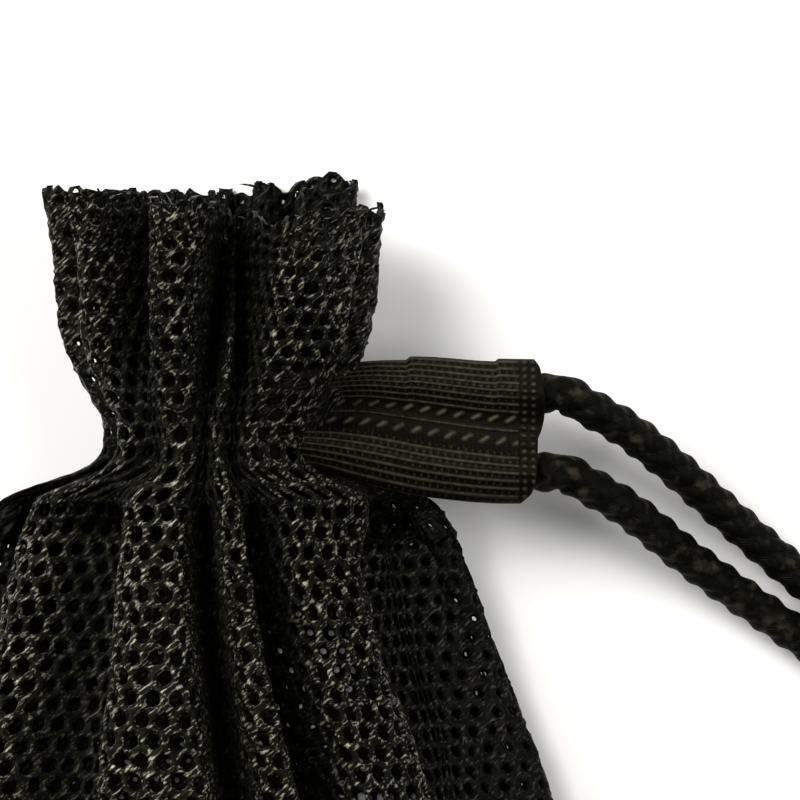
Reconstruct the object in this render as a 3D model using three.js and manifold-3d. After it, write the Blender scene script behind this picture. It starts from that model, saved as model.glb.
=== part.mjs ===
import * as THREE from 'three';
import { mergeVertices } from 'three/addons/utils/BufferGeometryUtils.js';
import Module from 'manifold-3d';

// A knitted mesh drawstring bag for dive gear, lying on its back with its neck drawn shut.
// Millimetres, +Z up. +Y points out of the mouth, +X along the tape tab that the cord leaves.
// X and Y are measured from the middle of the drawn neck and Z from the surface that the bag
// lies on. The last lines centre the bag on its own length.

// Cord and tape casing
const cordDiameter = 6;
const cordFit = 0.3;          // room round the cord in its casing
const tapeWall = 1.0;
const neckHole = 3.8;         // radius of the way left open through the drawn neck
const gap = 0.3;              // between neighbouring pieces
const tabReach = 48;          // from the middle of the neck to the hemmed end of the tab
const tabAbove = 10.4;        // edge of the tab's end towards the mouth
const tabBelow = 10.9;        // edge of the tab's end towards the body
const upperRun = 5.4;         // the cord's two runs at the tab's end
const lowerRun = -6.2;
const tabWeb = 1.6;           // half the thickness of the sewn strip between the runs

// Mesh cloth
const clothWall = 1.0;
const neckPleat = 2.6;        // depth of the pleats where the casing draws them in
const ruffleHeight = 37;
const ruffleRadius = 25;
const ruffleFold = 11;        // depth of the ruffle's folds
const bodyDepth = 285;
const bodyHalfWidth = 98;
const bodyHeight = 62;
const bodyFold = 14;          // depth of the folds that run down from the neck

// The two free legs of the cord, the coil that they end in and its knot
const coilInner = 30;         // radius of the inner strand's turn
const strandPitch = 6.6;
const coilX = 133.5;
const coilY = -20.4;
const knotRadius = 6.4;

const cordRadius = cordDiameter / 2;
const cavityRadius = cordRadius + cordFit;
const runRadius = cavityRadius + tapeWall;
const cordTurn = neckHole + tapeWall + cavityRadius;
const casingRadius = cordTurn + runRadius;
const neckValley = casingRadius + gap + clothWall;
const neckRadius = neckValley + neckPleat;
const neckLift = neckValley + clothWall;

const sliver = 0.005;         // edges shorter than this, left by a cut, are closed up

const wasm = await Module();
wasm.setup();

function toSolid(geometry) {
  const bare = geometry.clone();
  bare.deleteAttribute('normal');
  bare.deleteAttribute('uv');
  const merged = mergeVertices(bare, 1e-4);
  return new wasm.Manifold(new wasm.Mesh({
    numProp: 3,
    vertProperties: new Float32Array(merged.attributes.position.array),
    triVerts: new Uint32Array(merged.index.array),
  }));
}

function toGeometry(solid) {
  const mesh = solid.simplify(sliver).getMesh();
  const geometry = new THREE.BufferGeometry();
  geometry.setAttribute('position', new THREE.BufferAttribute(new Float32Array(mesh.vertProperties), 3));
  geometry.setIndex(new THREE.BufferAttribute(new Uint32Array(mesh.triVerts), 1));
  return geometry;
}

function gridGeometry(points, triangles) {
  const geometry = new THREE.BufferGeometry();
  geometry.setAttribute('position', new THREE.Float32BufferAttribute(points.flatMap((p) => p.toArray()), 3));
  geometry.setIndex(triangles.flat());
  return geometry;
}

// Closes the end of a grid with a fan from the middle of its last loop of points
function closeLoop(points, triangles, first, loop, forward) {
  const middle = points.slice(first, first + loop).reduce((sum, p) => sum.add(p), new THREE.Vector3());
  points.push(middle.divideScalar(loop));
  const centre = points.length - 1;
  for (let j = 0; j < loop; j += 1) {
    const [a, b] = [first + j, first + ((j + 1) % loop)];
    triangles.push(forward ? [a, b, centre] : [b, a, centre]);
  }
}

function tubeAlong(curve, radius, steps) {
  const section = new THREE.Shape();
  const sides = 8;
  for (let i = 0; i < sides; i += 1) {
    const angle = (2 * Math.PI * i) / sides;
    const corner = [radius * Math.cos(angle), radius * Math.sin(angle)];
    if (i === 0) section.moveTo(...corner);
    else section.lineTo(...corner);
  }
  section.closePath();
  return new THREE.ExtrudeGeometry(section, { steps, extrudePath: curve, bevelEnabled: false });
}

function splineThrough(rows) {
  return new THREE.CatmullRomCurve3(rows.map((row) => new THREE.Vector3(...row)), false, 'centripetal');
}

// Sections of the mesh pouch from the rim of the ruffle to the bottom edge. Every length is a
// share of a named size: along of the ruffle's height or the body's depth, wide of its half
// width, tall of its height, side of the height at which its widest line lies, fold of its
// fold depth. Lens above 1 thins the section towards its sides.
const ruffleSections = [
  { along: 1.00, wide: 1.00, tall: 0.86, fold: 1.00 },
  { along: 0.80, wide: 0.98, tall: 0.84, fold: 1.00 },
  { along: 0.55, wide: 0.95, tall: 0.82, fold: 0.90 },
  { along: 0.32, wide: 0.90, tall: 0.78, fold: 0.66 },
  { along: 0.16, wide: 0.76, tall: 0.70, fold: 0.34 },
];
const bodySections = [
  { along: 0.020, wide: 0.19, tall: 0.52, side: 0.225, fold: 0.22, lens: 1.5 },
  { along: 0.034, wide: 0.27, tall: 0.55, side: 0.17, fold: 0.28, lens: 1.9 },
  { along: 0.048, wide: 0.345, tall: 0.57, side: 0.14, fold: 0.60, lens: 2.4 },
  { along: 0.072, wide: 0.382, tall: 0.62, side: 0.11, fold: 0.80, lens: 2.2 },
  { along: 0.105, wide: 0.415, tall: 0.68, side: 0.09, fold: 0.95, lens: 2.0 },
  { along: 0.150, wide: 0.465, tall: 0.75, side: 0.08, fold: 1.00, lens: 1.8 },
  { along: 0.210, wide: 0.530, tall: 0.83, side: 0.07, fold: 1.00, lens: 1.6 },
  { along: 0.290, wide: 0.625, tall: 0.90, side: 0.07, fold: 0.85, lens: 1.5 },
  { along: 0.390, wide: 0.740, tall: 0.96, side: 0.07, fold: 0.62, lens: 1.4 },
  { along: 0.500, wide: 0.850, tall: 1.00, side: 0.07, fold: 0.44, lens: 1.3 },
  { along: 0.610, wide: 0.935, tall: 1.00, side: 0.07, fold: 0.30, lens: 1.25 },
  { along: 0.720, wide: 0.985, tall: 0.94, side: 0.07, fold: 0.20, lens: 1.2 },
  { along: 0.820, wide: 1.000, tall: 0.80, side: 0.065, fold: 0.14, lens: 1.2 },
  { along: 0.900, wide: 0.970, tall: 0.59, side: 0.06, fold: 0.10, lens: 1.15 },
  { along: 0.960, wide: 0.890, tall: 0.34, side: 0.05, fold: 0.05, lens: 1.1 },
  { along: 1.000, wide: 0.740, tall: 0.07, side: 0.035, fold: 0.00, lens: 1.0 },
];

// Valleys between the folds. At is a valley's place at the four levels below and wide its half
// width there, as shares of a turn round the bag, counted from the tab over the upper side.
// Ruffle and body are shares of the fold depth there, and reach is how far down the body the
// valley fades out.
const valleyLevels = [ruffleHeight, 0, -18, -54];
const still = (value) => valleyLevels.map(() => value);
const valleys = [
  { at: [0.04, 0.06, 0.098, 0.088], wide: [0.02, 0.024, 0.044, 0.04], ruffle: 0.35, body: 0.95, reach: 0.3 },
  { at: [0.183, 0.214, 0.214, 0.199], wide: [0.024, 0.02, 0.016, 0.014], ruffle: 1, body: 1, reach: 0.5 },
  { at: [0.222, 0.258, 0.256, 0.239], wide: [0.022, 0.014, 0.014, 0.016], ruffle: 0.9, body: 0.9, reach: 0.4 },
  { at: [0.345, 0.345, 0.34, 0.33], wide: [0.026, 0.022, 0.022, 0.024], ruffle: 0.9, body: 0.8, reach: 0.4 },
  { at: [0.44, 0.44, 0.435, 0.425], wide: [0.02, 0.02, 0.022, 0.024], ruffle: 0.8, body: 0.7, reach: 0.3 },
  { at: still(0.555), wide: still(0.018), ruffle: 0.7, body: 0.7, reach: 0.4 },
  { at: still(0.655), wide: still(0.022), ruffle: 0.8, body: 0.6, reach: 0.4 },
  { at: still(0.75), wide: still(0.022), ruffle: 0.7, body: 0.6, reach: 0.5 },
  { at: still(0.845), wide: still(0.022), ruffle: 0.8, body: 0.6, reach: 0.4 },
  { at: still(0.945), wide: still(0.018), ruffle: 0.7, body: 0.7, reach: 0.4 },
];

// A number from a row of values given at falling places, read between them in straight lines
function between(places, values, at) {
  const after = places.findIndex((place) => at >= place);
  if (after === 0) return values[0];
  if (after < 0) return values[values.length - 1];
  const share = (at - places[after - 1]) / (places[after] - places[after - 1]);
  return THREE.MathUtils.lerp(values[after - 1], values[after], share);
}

const mouthRows = ruffleSections.map((row) => ({
  y: row.along * ruffleHeight,
  wide: row.wide * ruffleRadius,
  top: neckLift + row.tall * ruffleRadius,
  side: neckLift,
  fold: row.fold * ruffleFold,
  lens: 1,
}));
const neckRow = {
  y: 0, wide: neckRadius, top: neckLift + neckRadius, side: neckLift, fold: neckPleat, lens: 1,
};
const bodyRows = bodySections.map((row) => ({
  y: -row.along * bodyDepth,
  wide: row.wide * bodyHalfWidth,
  top: row.tall * bodyHeight,
  side: row.side * bodyHeight,
  fold: row.fold * bodyFold,
  lens: row.lens,
}));
const pouchRows = [...mouthRows, neckRow, ...bodyRows];

// How deep the valleys lie at a turn share: the sum of their notches, each a bell curve
function valleyShare(turn, row) {
  let sum = 0;
  for (const valley of valleys) {
    const apart = Math.abs(turn - between(valleyLevels, valley.at, row.y));
    const offset = Math.min(apart, 1 - apart) / between(valleyLevels, valley.wide, row.y);
    const fade = Math.exp(-((row.y / (valley.reach * bodyDepth)) ** 2));
    const share = row.y > 0 ? valley.ruffle : valley.body * fade;
    sum += share * Math.exp(-(offset ** 2));
  }
  return Math.min(sum, 1);
}

// The rim stands lower over the front fold than at the back
function rimShare(turn) {
  const frontFold = Math.exp(-(((turn - 0.13) / 0.07) ** 2));
  return 1 - 0.13 * frontFold - 0.03 * (1 + Math.cos(6 * Math.PI * turn)) / 2;
}

// A point of the section without folds: half an ellipse-like arch over the widest line, and
// an underside that is flat where it rests
function archPoint(turn, row) {
  const angle = 2 * Math.PI * turn;
  const rise = Math.abs(Math.sin(angle)) ** row.lens;
  const x = row.wide * Math.cos(angle);
  const under = Math.min(row.wide, 2 * row.side + neckLift - row.side);
  const z = Math.sin(angle) >= 0 ? row.side + (row.top - row.side) * rise : row.side - under * rise;
  return new THREE.Vector2(x, z);
}

function pouchPoint(turn, row) {
  const step = 0.002;
  const here = archPoint(turn, row);
  const tangent = archPoint(turn + step, row).sub(archPoint(turn - step, row)).normalize();
  const inward = new THREE.Vector2(-tangent.y, tangent.x);
  const room = 0.6 * Math.abs(here.y - row.side) + 0.25 * row.side;
  const underShare = Math.sin(2 * Math.PI * turn) < 0 && row.y < 0 ? 0.5 : 1;
  const wish = Math.max(row.fold * valleyShare(turn, row) * underShare, 1e-6);
  const depth = row.y < -neckRadius ? (wish ** -3 + room ** -3) ** (-1 / 3) : wish;
  const place = here.addScaledVector(inward, depth);
  const y = row.y > 0 ? row.y * rimShare(turn) : row.y;
  return new THREE.Vector3(place.x, y, Math.max(place.y, 0));
}

// Columns of the grid at a section: seven to each fold, closer together at the valleys. The
// folds at the bag's two sides keep a column on its widest line.
function pouchColumns(row) {
  const plain = [0, 0.12, 0.27, 0.42, 0.58, 0.73, 0.88];
  const before = [0, 0.2, 0.5, 0.8];
  const after = [0, 0.2, 0.5, 0.8];
  const starts = valleys.map((valley) => between(valleyLevels, valley.at, row.y));
  const turns = [];
  starts.forEach((start, i) => {
    const next = i + 1 < starts.length ? starts[i + 1] : starts[0] + 1;
    const side = [0.5, 1].find((turn) => turn > start && turn < next);
    if (side === undefined) {
      plain.forEach((step) => turns.push(start + step * (next - start)));
    } else {
      before.forEach((step) => turns.push(start + step * (side - start)));
      after.forEach((step) => turns.push(side + step * (next - side)));
    }
  });
  return turns.map((turn) => turn % 1);
}

function pouchShell() {
  const outer = pouchRows.map((row) => pouchColumns(row).map((turn) => pouchPoint(turn, row)));
  const columns = outer[0].length;
  const last = outer.length - 1;
  const inner = outer.map((ring, i) => ring.map((point, j) => {
    const along = outer[Math.min(i + 1, last)][j].clone().sub(outer[Math.max(i - 1, 0)][j]);
    const across = ring[(j + 1) % columns].clone().sub(ring[(j + columns - 1) % columns]);
    const inward = new THREE.Vector3().crossVectors(across, along).normalize();
    const place = point.clone().addScaledVector(inward, -clothWall);
    if (i === 0) place.y = point.y;
    if (i === last) place.y = -bodyDepth + clothWall;
    place.z = Math.max(place.z, clothWall);
    return place;
  }));
  const points = [...outer.flat(), ...inner.flat()];
  const inside = outer.length * columns;
  const triangles = [];
  for (let i = 0; i < last; i += 1) {
    for (let j = 0; j < columns; j += 1) {
      const k = (j + 1) % columns;
      const [a, b, c, d] = [i * columns + j, i * columns + k, (i + 1) * columns + k, (i + 1) * columns + j];
      triangles.push([a, b, c], [a, c, d]);
      triangles.push([inside + a, inside + c, inside + b], [inside + a, inside + d, inside + c]);
    }
  }
  for (let j = 0; j < columns; j += 1) {
    const k = (j + 1) % columns;
    triangles.push([j, inside + j, inside + k], [j, inside + k, k]);
  }
  closeLoop(points, triangles, last * columns, columns, true);
  closeLoop(points, triangles, inside + last * columns, columns, false);
  return gridGeometry(points, triangles);
}

// The tab's course out of the gathers at the neck, towards which it narrows. Along is a share of
// its reach, lower and upper of its edges at the end, and middle is the place of its middle rib.
const tabCourse = [
  { along: 0.10, lower: 0.34, middle: 1.8, upper: 0.80 },
  { along: 0.25, lower: 0.47, middle: 1.9, upper: 0.89 },
  { along: 0.35, lower: 0.58, middle: 1.9, upper: 0.95 },
  { along: 0.46, lower: 0.73, middle: 1.6, upper: 0.98 },
  { along: 0.58, lower: 0.85, middle: 1.3, upper: 1.00 },
  { along: 0.69, lower: 0.93, middle: 0.9, upper: 1.00 },
  { along: 0.85, lower: 0.99, middle: 0.1, upper: 0.99 },
  { along: 1.00, lower: 1.00, middle: -0.54, upper: 1.00 },
];
const tabHeight = tabAbove + tabBelow;
const middleShare = 0.486;    // share of the tab's height at which its middle rib lies

// Place across the tab of a share of its height: a parabola through both edges and the middle
function tabPlace(x, share) {
  const places = tabCourse.map((row) => -row.along * tabReach);
  const read = (name) => between(places, tabCourse.map((row) => row[name]), -x);
  const low = ((share - middleShare) * (share - 1)) / middleShare;
  const mid = (share * (share - 1)) / (middleShare * (middleShare - 1));
  const high = (share * (share - middleShare)) / (1 - middleShare);
  return -tabBelow * read('lower') * low + read('middle') * mid + tabAbove * read('upper') * high;
}

function runPlace(x, run) {
  return tabPlace(x, (run + tabBelow) / tabHeight);
}

// Half the tab's thickness across its end: two rounded runs round the cord and a thin sewn web
function tabHalfThickness(across) {
  const lobe = runRadius;
  const reach = 5.2;
  const bump = (centre) => {
    const t = Math.min(Math.abs(across - centre) / reach, 1);
    return Math.cos((t * Math.PI) / 2) ** 2;
  };
  return tabWeb + (lobe - tabWeb) * Math.max(bump(upperRun), bump(lowerRun));
}

function tabSolid(clearance) {
  const across = 16;
  const points = [];
  for (const row of tabCourse) {
    const x = row.along * tabReach;
    const spread = 1 - THREE.MathUtils.smoothstep(x, 0.5 * casingRadius, 1.5 * casingRadius);
    const swell = 1 + 1.3 * spread;
    for (let side = 1; side >= -1; side -= 2) {
      for (let j = 0; j <= across; j += 1) {
        const share = side > 0 ? j / across : 1 - j / across;
        const reachOut = (share - 0.5) * 2 * clearance;
        const half = swell * tabHalfThickness(-tabBelow + share * tabHeight) + clearance;
        points.push(new THREE.Vector3(x, tabPlace(x, share) + reachOut, neckLift + side * half));
      }
    }
  }
  const stations = tabCourse.length;
  const loop = 2 * (across + 1);
  const triangles = [];
  for (let i = 0; i < stations - 1; i += 1) {
    for (let j = 0; j < loop; j += 1) {
      const k = (j + 1) % loop;
      const [a, b, c, d] = [i * loop + j, i * loop + k, (i + 1) * loop + k, (i + 1) * loop + j];
      triangles.push([a, c, b], [a, d, c]);
    }
  }
  closeLoop(points, triangles, 0, loop, true);
  closeLoop(points, triangles, (stations - 1) * loop, loop, false);
  return toSolid(gridGeometry(points, triangles));
}

// The gathered ring of tape inside the neck, turned round the neck's own axis
function casingRing(clearance) {
  const outside = casingRadius + clearance;
  const corner = 1.5;
  const top = tabAbove + clearance;
  const bottom = -tabBelow - clearance;
  const profile = [
    [neckHole, bottom + corner], [neckHole + corner, bottom], [outside - corner, bottom],
    [outside, bottom + corner], [outside, top - corner], [outside - corner, top],
    [neckHole + corner, top], [neckHole, top - corner], [neckHole, bottom + corner],
  ].map(([r, y]) => new THREE.Vector2(r, y));
  return new THREE.LatheGeometry(profile, 32).translate(0, 0, neckLift);
}

// The cord's route in its casing: in through the upper run, round the neck, out of the lower
function casedRoute(overrun) {
  const runStations = [tabReach, 0.5 * tabReach + casingRadius, 0.58 * tabReach, 1.8 * casingRadius];
  const turnStations = [
    { x: 1.50, z: 0.35 }, { x: 0.88, z: 0.70 }, { x: 0.00, z: 1.00 }, { x: -0.72, z: 0.70 },
  ];
  const entry = turnStations[0].x * cordTurn;
  const first = runPlace(entry, upperRun);
  const last = runPlace(entry, lowerRun);
  const fall = first - last;
  const wayIn = turnStations.map((s, i) => [s.x * cordTurn, first - 0.1 * i * fall, neckLift + s.z * cordTurn]);
  const wayOut = turnStations.map((s, i) => [s.x * cordTurn, last + 0.1 * i * fall, neckLift - s.z * cordTurn]);
  return splineThrough([
    [tabReach + overrun, upperRun, neckLift],
    ...runStations.slice(overrun > 0 ? 0 : 1).map((x) => [x, runPlace(x, upperRun), neckLift]),
    ...wayIn,
    [-cordTurn, 0.5 * (first + last), neckLift],
    ...wayOut.reverse(),
    ...runStations.slice(overrun > 0 ? 0 : 1).reverse().map((x) => [x, runPlace(x, lowerRun), neckLift]),
    [tabReach + overrun, lowerRun, neckLift],
  ]);
}

// Outside of the casing: the ring, the tab and the tape rounded over the cord between them
function casingOutside(clearance) {
  const runs = toSolid(tubeAlong(casedRoute(0), runRadius + clearance, 60));
  return toSolid(casingRing(clearance)).add(tabSolid(clearance)).add(runs);
}

function casingTape() {
  const tunnel = toSolid(tubeAlong(casedRoute(2), cavityRadius, 60));
  return toGeometry(casingOutside(0).subtract(tunnel));
}

// The mesh with room for the casing and the slot that its tab passes through, parted below the
// casing into the ruffle with its gathered neck and the body. Crumbs cut off are dropped.
function meshParts() {
  const shell = toSolid(pouchShell()).subtract(casingOutside(gap));
  const seam = -tabBelow - gap;
  const largest = (solid) => solid.decompose().reduce((a, b) => (b.volume() > a.volume() ? b : a));
  const ruffle = largest(shell.trimByPlane([0, 1, 0], seam + 0.5 * gap));
  const body = largest(shell.trimByPlane([0, -1, 0], -seam + 0.5 * gap));
  return [toGeometry(ruffle), toGeometry(body)];
}

// Routes of the free legs, chosen by hand: out of the tab, down to the surface and along it
const upperLegRoute = [
  [tabReach + gap, upperRun, neckLift],
  [tabReach + cordRadius, upperRun, neckLift],
  [54.2, 3.7, 14.1],
  [57.2, 2.1, 13.0],
  [60.5, 0.2, 11.5],
  [64.5, -2.7, 9.4],
  [69.5, -6.8, 7.0],
  [76.0, -12.5, 4.7],
  [83.2, -18.7, 3.4],
  [91.0, -25.3, 3.1],
];
const lowerLegRoute = [
  [tabReach + gap, lowerRun, neckLift],
  [tabReach + cordRadius, lowerRun, neckLift],
  [54.2, -7.8, 14.1],
  [57.2, -9.5, 13.0],
  [60.2, -11.3, 11.5],
  [64.0, -14.1, 9.4],
  [68.8, -18.0, 7.0],
  [75.0, -22.6, 4.8],
  [84.0, -28.9, 3.4],
  [93.6, -35.75, 3.1],
];

function coilSolid() {
  const inside = coilInner - cordRadius;
  const outside = coilInner + strandPitch + cordRadius;
  const corner = 0.3 * cordDiameter;
  const lowest = 0.1;
  const profile = [
    [inside, lowest + corner], [inside + corner, lowest], [outside - corner, lowest],
    [outside, lowest + corner], [outside, cordDiameter - corner], [outside - corner, cordDiameter],
    [inside + corner, cordDiameter], [inside, cordDiameter - corner], [inside, lowest + corner],
  ].map(([r, z]) => new THREE.Vector2(r, z));
  const ring = new THREE.LatheGeometry(profile, 36);
  return ring.rotateX(Math.PI / 2).translate(coilX, coilY, 0);
}

// The overhand knot that joins the two ends, lying against the inside of the coil
function knotSolid() {
  const strand = cordRadius - 0.1;
  const reach = 1.5 * knotRadius + strand;
  const middle = coilInner - cordRadius - gap - reach;
  const knot = new THREE.TorusKnotGeometry(knotRadius, strand, 42, 6, 2, 3);
  return knot.rotateZ(Math.PI).translate(coilX - middle, coilY, 0.5 * knotRadius + strand + 0.1);
}

const meshFinish = { color: 0x1b1b18, roughness: 0.45, metalness: 0 };
const tapeFinish = { color: 0x24221c, roughness: 0.7, metalness: 0 };
const cordFinish = { color: 0x141410, roughness: 0.6, metalness: 0 };

function piece(name, geometry, finish) {
  const bare = mergeVertices(geometry.deleteAttribute('uv').deleteAttribute('normal'), 1e-4);
  bare.computeVertexNormals();
  const mesh = new THREE.Mesh(bare, new THREE.MeshStandardMaterial(finish));
  mesh.name = name;
  return mesh;
}

const [ruffle, body] = meshParts();
const bag = new THREE.Group();
bag.add(
  piece('mesh_ruffle', ruffle, meshFinish),
  piece('mesh_body', body, meshFinish),
  piece('casing_tape', casingTape(), tapeFinish),
  piece('drawstring_in_casing', tubeAlong(casedRoute(0), cordRadius, 48), cordFinish),
  piece('drawstring_leg_upper', tubeAlong(splineThrough(upperLegRoute), cordRadius, 20), cordFinish),
  piece('drawstring_leg_lower', tubeAlong(splineThrough(lowerLegRoute), cordRadius, 20), cordFinish),
  piece('drawstring_coil', coilSolid(), cordFinish),
  piece('drawstring_knot', knotSolid(), cordFinish),
);
const extent = new THREE.Box3().setFromObject(bag);
bag.position.y = -0.5 * (extent.min.y + extent.max.y);

export default bag;
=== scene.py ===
"""A knitted mesh drawstring bag for dive gear, drawn shut and lying on its back.

The bag is one tube of black knitted mesh, gathered by a braided cord that runs in a casing of
ribbed tape. Lengths are in millimetres, counted from the middle of the drawn neck across the
bag and from the surface that it lies on upwards, until a mesh is made in metres.
"""

import bpy
import numpy as np
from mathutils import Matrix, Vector


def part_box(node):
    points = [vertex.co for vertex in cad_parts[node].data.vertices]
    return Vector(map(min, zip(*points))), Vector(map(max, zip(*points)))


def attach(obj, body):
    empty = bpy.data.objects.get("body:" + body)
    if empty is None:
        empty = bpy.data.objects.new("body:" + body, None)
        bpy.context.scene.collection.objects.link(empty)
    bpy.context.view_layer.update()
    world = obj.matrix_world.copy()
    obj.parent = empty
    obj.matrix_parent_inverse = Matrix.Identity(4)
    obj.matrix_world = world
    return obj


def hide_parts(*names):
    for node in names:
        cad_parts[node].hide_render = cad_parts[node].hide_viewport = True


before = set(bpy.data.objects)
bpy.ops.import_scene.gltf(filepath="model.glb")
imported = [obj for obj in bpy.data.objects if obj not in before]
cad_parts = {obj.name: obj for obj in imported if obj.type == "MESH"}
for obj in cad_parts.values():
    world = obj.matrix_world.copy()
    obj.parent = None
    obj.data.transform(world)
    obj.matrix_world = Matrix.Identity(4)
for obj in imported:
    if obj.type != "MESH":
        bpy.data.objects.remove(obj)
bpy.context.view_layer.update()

# The neck's place in the frame. The pouch's bottom edge lies the body's depth below it, and the
# casing's tape ring is centred on it in height.
MM = 0.001
body_depth = 285.0
ruffle_height = 37.0
neck_lift = 14.7
neck_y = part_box("mesh_body")[0][1] / MM + body_depth


def in_frame(points):
    """Points counted from the neck, in millimetres, as points of the frame in metres."""
    return (np.asarray(points, float) + (0.0, neck_y, 0.0)) * MM


# Camera
# It looks straight down on the drawn neck, as squarely as the photograph does, and takes in
# only the neck, the ruffle, the tab and the shoulder of the bag.
frame_width = 117.6
camera_height = 430.0
view_centre = (27.2, 4.4)
camera_data = bpy.data.cameras.new("view")
camera_data.sensor_width = 36.0
camera_data.lens = camera_data.sensor_width * camera_height / frame_width
camera_data.clip_start = 0.01
camera = bpy.data.objects.new("view", camera_data)
camera.location = in_frame((*view_centre, neck_lift + camera_height))
bpy.context.scene.collection.objects.link(camera)
bpy.context.scene.camera = camera

# Braided cord
# Soft 6 mm polyester cord of eight thick strands, braided round and round. It leaves the tab in
# two legs, which sink to the surface, run side by side and end in one neat coil and a knot. Each
# leg's route starts inside the tab, so that no gap shows where it comes out.
cord_diameter = 6.0
cord_radius = cord_diameter / 2
tab_reach = 48.0
gap = 0.3
upper_run = 5.4
lower_run = -6.2
coil_centre = np.array([133.5, -20.4])
coil_inner = 30.0
coil_start = 232.0
coil_step = 12.0
draw_in = 50.0
strand_pitch = 6.6
lying_height = 3.1
route_step = 0.4
cord_sides = 40
strands_each_way = 4
braid_pitch = 17.0
braid_floor = 0.72
strand_roundness = 1.9
strand_middle = 0.62
strand_swing = 0.38
end_length = 1.2
end_share = 0.02
cord_black = "#060603"
cord_painted_glint_grey = "#2e2a22"
leg_start = 40.0

upper_leg_route = [
    (leg_start, upper_run, neck_lift),
    (tab_reach + gap, upper_run, neck_lift),
    (tab_reach + cord_radius, upper_run, neck_lift),
    (54.2, 3.7, 14.1),
    (57.2, 2.1, 13.0),
    (60.5, 0.2, 11.5),
    (64.5, -2.7, 9.4),
    (69.5, -6.8, 7.0),
    (76.0, -12.5, 4.7),
    (83.2, -18.7, 3.4),
    (91.0, -25.3, lying_height),
]
lower_leg_route = [
    (leg_start, lower_run, neck_lift),
    (tab_reach + gap, lower_run, neck_lift),
    (tab_reach + cord_radius, lower_run, neck_lift),
    (54.2, -7.8, 14.1),
    (57.2, -9.5, 13.0),
    (60.2, -11.3, 11.5),
    (64.0, -14.1, 9.4),
    (68.8, -18.0, 7.0),
    (75.0, -22.6, 4.8),
    (84.0, -28.9, 3.4),
    (93.6, -35.75, lying_height),
]


def spline(rows, step):
    """A smooth curve through given rows: a cubic on chord length, sampled every step."""
    rows = np.asarray(rows, float)
    chord = np.append(0.0, np.cumsum(np.linalg.norm(np.diff(rows, axis=0), axis=1)))
    at = np.linspace(0.0, chord[-1], int(chord[-1] / step) + 1)
    return np.stack([hermite(at, chord, rows[:, k]) for k in range(rows.shape[1])], axis=1)


def hermite(at, knots, values):
    """Cubic Hermite interpolation whose slope at each knot is the mean of its two sides."""
    slopes = np.gradient(values, knots)
    k = np.clip(np.searchsorted(knots, at, side="right") - 1, 0, len(knots) - 2)
    span = knots[k + 1] - knots[k]
    t = (at - knots[k]) / span
    rise = values[k] * (1 + 2 * t) * (1 - t) ** 2 + values[k + 1] * t**2 * (3 - 2 * t)
    return rise + span * (slopes[k] * t * (1 - t) ** 2 - slopes[k + 1] * t**2 * (1 - t))


def mesh_object(name, points, faces, material, flat_faces=0):
    """A mesh of the frame from points in millimetres and rows of triangles or quads. It is
    shaded smooth, but for a number of flat faces at the end of the list."""
    mesh = bpy.data.meshes.new(name)
    faces = np.asarray(faces)
    mesh.vertices.add(len(points))
    mesh.vertices.foreach_set("co", in_frame(points).astype(np.float32).ravel())
    mesh.loops.add(faces.size)
    mesh.loops.foreach_set("vertex_index", faces.astype(np.int32).ravel())
    mesh.polygons.add(len(faces))
    mesh.polygons.foreach_set("loop_start", np.arange(0, faces.size, faces.shape[1], dtype=np.int32))
    mesh.polygons.foreach_set("use_smooth", np.arange(len(faces)) < len(faces) - flat_faces)
    mesh.update(calc_edges=True)
    mesh.validate()
    mesh.materials.append(material)
    piece = bpy.data.objects.new(name, mesh)
    bpy.context.scene.collection.objects.link(piece)
    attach(piece, "root")
    return piece


def point_numbers(piece, name, numbers):
    """Stores one number for each point of a piece, for its material to read."""
    attribute = piece.data.attributes.new(name, "FLOAT", "POINT")
    attribute.data.foreach_set("value", np.asarray(numbers, np.float32).ravel())


def linear(hex_colour):
    """An sRGB hex colour as the linear colour that Blender's nodes take."""
    srgb = np.array([int(hex_colour[i:i + 2], 16) for i in (1, 3, 5)]) / 255.0
    low = srgb / 12.92
    high = ((srgb + 0.055) / 1.055) ** 2.4
    return (*np.where(srgb <= 0.04045, low, high), 1.0)


def add_node(tree, kind, settings=(), inputs=()):
    """One shader node: settings are its own properties, inputs are values or sockets to link."""
    node = tree.nodes.new(kind)
    for key, value in dict(settings).items():
        setattr(node, key, value)
    for key, value in dict(inputs).items():
        if isinstance(value, bpy.types.NodeSocket):
            tree.links.new(value, node.inputs[key])
        else:
            node.inputs[key].default_value = value
    return node


def new_material(name, inputs):
    """A node material with its output, and the surface shader that feeds it."""
    material = bpy.data.materials.new(name)
    material.use_nodes = True
    tree = material.node_tree
    tree.nodes.clear()
    surface = add_node(tree, "ShaderNodeBsdfPrincipled", inputs=inputs)
    add_node(tree, "ShaderNodeOutputMaterial", inputs={"Surface": surface.outputs["BSDF"]})
    return material, tree, surface


def two_colours(tree, share, low, high):
    """The colour between two stops, each a value and a hex colour, that a socket's value picks."""
    ramp = add_node(tree, "ShaderNodeValToRGB", inputs={"Fac": share})
    for element, (position, colour) in zip(ramp.color_ramp.elements, (low, high)):
        element.position = position
        element.color = linear(colour)
    return ramp.outputs["Color"]


def bumps(tree, height, strength, distance):
    """A normal that a socket's value raises by up to a distance in metres."""
    bump = add_node(tree, "ShaderNodeBump", inputs={
        "Height": height, "Strength": strength, "Distance": distance})
    return bump.outputs["Normal"]


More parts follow.
